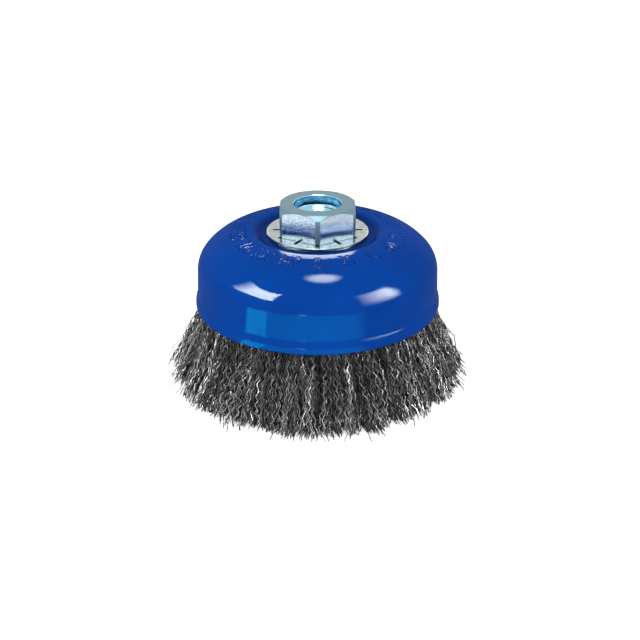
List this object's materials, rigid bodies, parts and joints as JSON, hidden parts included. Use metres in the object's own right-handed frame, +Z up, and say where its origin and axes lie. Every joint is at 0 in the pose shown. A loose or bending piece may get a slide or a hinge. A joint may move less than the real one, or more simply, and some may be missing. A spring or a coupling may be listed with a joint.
{
  "type": "wire cup brush",
  "caption": "Crimped wire cup brush for an angle grinder: drawn steel cup, ring of crimped steel wires and hexagon nut with an M14 thread.",
  "frame": {"origin": "centre of the plane that the wire tips stand on", "axes": "+Z up along the spindle axis from the wire tips to the nut, -Y towards the hexagon corner at the front"},
  "size_m": [0.1038, 0.1036, 0.0581],
  "materials": {
    "blue_enamel": "glossy deep blue enamel",
    "zinc_plate": "bright zinc plate, pale blue cast",
    "zinc_sheet": "zinc plated sheet steel",
    "plain_steel": "drawn steel",
    "wire_steel": "dark grey oiled crimped steel wire"
  },
  "bodies": {
    "root": {"cup": "blue_enamel", "hub_washer": "zinc_plate", "drive_nut": "zinc_plate", "inner_plate": "zinc_sheet", "retaining_ring": "plain_steel", "wire_bundle_01": "wire_steel", "wire_bundle_02": "wire_steel", "wire_bundle_03": "wire_steel", "wire_bundle_04": "wire_steel", "wire_bundle_05": "wire_steel", "wire_bundle_06": "wire_steel", "wire_bundle_07": "wire_steel", "wire_bundle_08": "wire_steel", "wire_bundle_09": "wire_steel", "wire_bundle_10": "wire_steel", "wire_bundle_11": "wire_steel", "wire_bundle_12": "wire_steel", "wire_bundle_13": "wire_steel", "wire_bundle_14": "wire_steel", "wire_bundle_15": "wire_steel", "wire_bundle_16": "wire_steel", "wire_bundle_17": "wire_steel", "wire_bundle_18": "wire_steel"}
  },
  "joints": []
}
